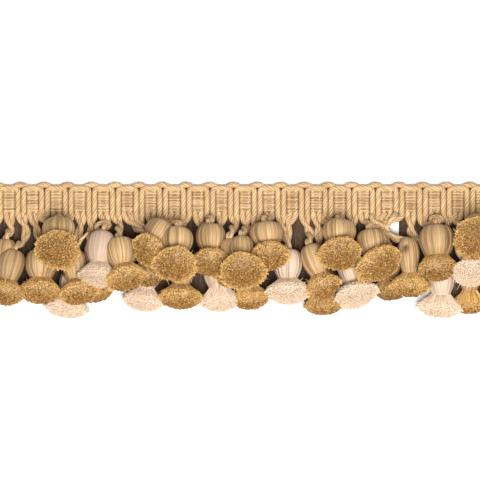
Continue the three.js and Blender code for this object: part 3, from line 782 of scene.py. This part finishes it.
def loose_pieces(rng):
    """A ring of cord on top of one tassel, a bent cord over another, and a yarn's loose end beside
    a third."""
    turn = np.linspace(0, 2 * math.pi, 40)
    ring = np.stack([2.35 * np.cos(turn), 1.3 * np.sin(turn), 0.5 * np.sin(turn)], 1)
    knob = cord(ring + [85.6, -9.9, 4.6], 1.25, 6, 26, 0, rng)
    bent = smooth_line([(-62.6, -10.6, 2.6), (-64.4, -11.2, 4.2), (-66.2, -12.2, 5.0),
                        (-66.6, -13.8, 5.2), (-65.2, -15.0, 6.5)], 24)
    knot = cord(bent, 1.15, 5, 14, 0, rng)
    end = smooth_line([(-74.6, -20.8, 9.0), (-73.4, -18.8, 10.2), (-71.9, -17.2, 10.4),
                       (-70.4, -15.6, 9.6)], 24)
    stray = cord(end, np.linspace(1.0, 0.5, 24), 3, 9, 0, rng)
    return [knob, knot, stray]


# Pieces


def finished(name, parts, finishes, slot, *nodes):
    """Joins parts into one mesh, in metres, that rides on the trim and stands for its solids."""
    starts = np.cumsum([0] + [len(p["points"]) for p in parts[:-1]])
    points = np.vstack([p["points"] for p in parts]) * MM
    faces = np.vstack([p["faces"] + start for p, start in zip(parts, starts)])
    mesh = bpy.data.meshes.new(name)
    mesh.vertices.add(len(points))
    mesh.vertices.foreach_set("co", points.ravel().astype(np.float32))
    mesh.loops.add(faces.size)
    mesh.loops.foreach_set("vertex_index", faces.ravel().astype(np.int32))
    mesh.polygons.add(len(faces))
    mesh.polygons.foreach_set("loop_start", np.arange(0, faces.size, 3, dtype=np.int32))
    mesh.polygons.foreach_set("use_smooth", np.concatenate([p["smooth"] for p in parts]))
    finish = np.concatenate([p["finish"] for p in parts]).astype(np.int32)
    mesh.polygons.foreach_set("material_index", finish)
    mesh.update(calc_edges=True)
    uv = np.vstack([p["uv"] for p in parts])
    mesh.uv_layers.new(name="yarn_run").data.foreach_set("uv", uv.ravel().astype(np.float32))
    for key in ("tone", "depth"):
        values = np.concatenate([p[key] for p in parts]).astype(np.float32)
        mesh.attributes.new(key, "FLOAT", "POINT").data.foreach_set("value", values)
    for material in finishes:
        mesh.materials.append(material)
    piece = bpy.data.objects.new(name, mesh)
    bpy.context.scene.collection.objects.link(piece)
    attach(piece, "root")
    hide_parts(*nodes)


# Materials


def linear(srgb):
    """A colour from 0 to 255 as the linear light that a shader takes."""
    share = np.array(srgb) / 255
    light = np.where(share <= 0.04045, share / 12.92, ((share + 0.055) / 1.055) ** 2.4)
    return (*light.tolist(), 1.0)


def yarn(name, light, dark, shade_colour, scale, bump, sheen, rough):
    """Spun yarn: its colour goes from `dark` to `light` with the yarn's own tone and with a grain
    drawn out along the thread, and, where the depth attribute is low, to a painted shade colour
    for the hollows between yarns; the grain raises the surface a little.
    `scale` is how fine the grain is round the yarn and along it."""
    material = bpy.data.materials.new(name)
    material.use_nodes = True
    tree = material.node_tree
    shader = tree.nodes["Principled BSDF"]
    shader.inputs["Roughness"].default_value = rough
    shader.inputs["Sheen Weight"].default_value = sheen
    shader.inputs["Sheen Roughness"].default_value = 0.4
    shader.inputs["Specular IOR Level"].default_value = 0.35

    def node(kind, **inputs):
        made = tree.nodes.new(kind)
        for key, value in inputs.items():
            made.inputs[key].default_value = value
        return made

    run = node("ShaderNodeUVMap")
    run.uv_map = "yarn_run"
    drawn = node("ShaderNodeMapping", Scale=(*scale, 1))
    grain = node("ShaderNodeTexNoise", Scale=1.0, Detail=3.0, Roughness=0.6)
    tree.links.new(run.outputs["UV"], drawn.inputs["Vector"])
    tree.links.new(drawn.outputs["Vector"], grain.inputs["Vector"])
    tone = node("ShaderNodeAttribute")
    tone.attribute_name = "tone"
    depth = node("ShaderNodeAttribute")
    depth.attribute_name = "depth"
    # 0.8 grain + (tone - 0.4), so that a grain of 0.5 leaves the tone as it is
    blend = node("ShaderNodeMath")
    blend.operation = "MULTIPLY_ADD"
    blend.inputs[1].default_value = 0.8
    tree.links.new(grain.outputs["Fac"], blend.inputs[0])
    lowered = node("ShaderNodeMath")
    lowered.operation = "SUBTRACT"
    lowered.inputs[1].default_value = 0.4
    tree.links.new(tone.outputs["Fac"], lowered.inputs[0])
    tree.links.new(lowered.outputs[0], blend.inputs[2])
    ramp = node("ShaderNodeValToRGB")
    for stop, colour, position in zip(ramp.color_ramp.elements, (dark, light), (0.15, 0.85)):
        stop.color, stop.position = linear(colour), position
    tree.links.new(blend.outputs[0], ramp.inputs["Fac"])
    # painted shade: where the depth attribute is low, the colour goes to the shade colour
    shade_mix = node("ShaderNodeMix")
    shade_mix.data_type = "RGBA"
    shade_mix.inputs[6].default_value = linear(shade_colour)
    tree.links.new(depth.outputs["Fac"], shade_mix.inputs["Factor"])
    tree.links.new(ramp.outputs["Color"], shade_mix.inputs[7])
    tree.links.new(shade_mix.outputs[2], shader.inputs["Base Color"])
    raised = node("ShaderNodeBump", Strength=bump, Distance=0.0002)
    tree.links.new(grain.outputs["Fac"], raised.inputs["Height"])
    tree.links.new(raised.outputs["Normal"], shader.inputs["Normal"])
    return material


# each yarn: its light and dark colours, then the painted shade colour for its hollows
cord_yarn = yarn("cord_yarn", (234, 199, 149), (196, 157, 108), (126, 90, 52),
                 scale=(40, 1.2), bump=0.6, sheen=0.2, rough=0.65)
weft_yarn = yarn("weft_yarn", (234, 199, 149), (164, 125, 80), (88, 60, 30),
                 scale=(60, 0.5), bump=0.5, sheen=0.2, rough=0.6)
tan_threads = yarn("tan_threads", (212, 176, 127), (138, 105, 63), (74, 48, 22),
                   scale=(56, 0.12), bump=0.5, sheen=0.05, rough=0.55)
tan_ends = yarn("tan_cut_ends", (225, 183, 114), (138, 92, 34), (104, 68, 31),
                scale=(30, 0.6), bump=0.4, sheen=0.05, rough=0.8)
cream_threads = yarn("cream_threads", (217, 194, 171), (186, 160, 136), (158, 124, 96),
                     scale=(56, 0.12), bump=0.5, sheen=0.05, rough=0.55)
cream_ends = yarn("cream_cut_ends", (234, 211, 186), (212, 187, 159), (196, 168, 138),
                  scale=(30, 0.6), bump=0.4, sheen=0.05, rough=0.8)
# painted shade: a dark yarn for the strands that stand for the shade under the cords and heads
painted_shade_yarn = yarn("painted_shade_yarn", (84, 62, 42), (58, 40, 26), (40, 26, 14),
                   scale=(30, 0.6), bump=0.4, sheen=0.1, rough=0.8)
FINISHES = {"tan": [tan_threads, tan_ends], "cream": [cream_threads, cream_ends]}

# Making the pieces

laid, places = [], {}
for tassel in TASSELS:
    rng = np.random.default_rng(int(tassel["name"]))
    axes, neck, thick = placed(tassel)
    places[tassel["name"]] = (tassel, axes, neck)
    makers = (head_threads, tuft_core, cut_ends, flare_yarn, stray_fibres)
    parts = [make(tassel, axes, neck, thick, rng) for make in makers]
    for made in parts:
        # painted shade over the whole of a tassel listed in SHADED
        made["depth"] = made["depth"] * SHADED.get(tassel["name"], 1)
        points = pushed_clear(made["points"], laid, CLEAR)
        points[:, 2] = np.maximum(points[:, 2], SURFACE_GAP)
        made["points"] = points
    laid += lying_bodies(tassel, axes, neck, thick)
    finished("tassel_" + tassel["name"] + "_yarn", parts, FINISHES[tassel["yarn"]],
             tassel["yarn"] + "_yarn", "tassel_" + tassel["name"])

routes = [pair_route(pair, *places[name]) for pair, name in enumerate(CARRIED)]
rng = np.random.default_rng(7)
for name, front in (("front_cords", True), ("back_cords", False)):
    parts = cord_layer(front, routes, rng)
    if front:
        parts += loose_pieces(rng)
    finished(name, parts, [cord_yarn], "heading_yarn", "heading", "hangers")
panels = []
for k in range(REPEATS + 1):
    middle = k * REPEAT - END
    low_x, high_x = max(middle - PANEL_HALF, -END), min(middle + PANEL_HALF, END)
    panels.append(weft_panel(middle, low_x, high_x, rng))
finished("weft_panels", panels + [ground_weave()], [weft_yarn], "heading_yarn", "heading")

finished("painted_shade_strands", [painted_shade_strands(rng)], [painted_shade_yarn], "heading_yarn", "hangers")

# Floor, light and camera, in metres

FLOOR_HALF, FLOOR_DROP = 3, 0.0001
HEAP_MIDDLE = Vector((0, -0.02, 0))
LAMP_PLACE = Vector((0.08, -0.3, 1.05))
LAMP_WIDE, LAMP_POWER = 0.6, 18.5
SKY_STRENGTH = 0.38
VIEW_MIDDLE = (-0.0024, -0.0189)
VIEW_WIDE = 0.2155  # what the picture shows from side to side
CAMERA_HIGH = 2.0
SENSOR = 36  # mm

floor_mesh = bpy.data.meshes.new("floor")
corners = [(x * FLOOR_HALF, y * FLOOR_HALF, 0) for x, y in ((-1, -1), (1, -1), (1, 1), (-1, 1))]
floor_mesh.from_pydata(corners, [], [(0, 1, 2, 3)])
floor = bpy.data.objects.new("floor", floor_mesh)
floor.location.z = -FLOOR_DROP
bpy.context.scene.collection.objects.link(floor)
pale = bpy.data.materials.new("pale_floor")
pale.use_nodes = True
pale.node_tree.nodes["Principled BSDF"].inputs["Base Color"].default_value = (0.9, 0.9, 0.9, 1)
pale.node_tree.nodes["Principled BSDF"].inputs["Roughness"].default_value = 0.9
floor_mesh.materials.append(pale)

world = bpy.data.worlds.new("soft_sky")
world.use_nodes = True
world.node_tree.nodes["Background"].inputs["Color"].default_value = (1, 1, 1, 1)
world.node_tree.nodes["Background"].inputs["Strength"].default_value = SKY_STRENGTH
bpy.context.scene.world = world
bpy.context.scene.view_settings.view_transform = "Standard"

lamp_data = bpy.data.lights.new("key", "AREA")
lamp_data.shape, lamp_data.size, lamp_data.energy = "DISK", LAMP_WIDE, LAMP_POWER
lamp = bpy.data.objects.new("key", lamp_data)
lamp.location = LAMP_PLACE
lamp.rotation_mode = "QUATERNION"
lamp.rotation_quaternion = (HEAP_MIDDLE - LAMP_PLACE).to_track_quat("-Z", "Y")
bpy.context.scene.collection.objects.link(lamp)

camera_data = bpy.data.cameras.new("camera")
camera_data.sensor_width = SENSOR
camera_data.lens = SENSOR * CAMERA_HIGH / VIEW_WIDE
camera_data.clip_start, camera_data.clip_end = 0.01, 20
camera = bpy.data.objects.new("camera", camera_data)
camera.location = (*VIEW_MIDDLE, CAMERA_HIGH)
bpy.context.scene.collection.objects.link(camera)
bpy.context.scene.camera = camera
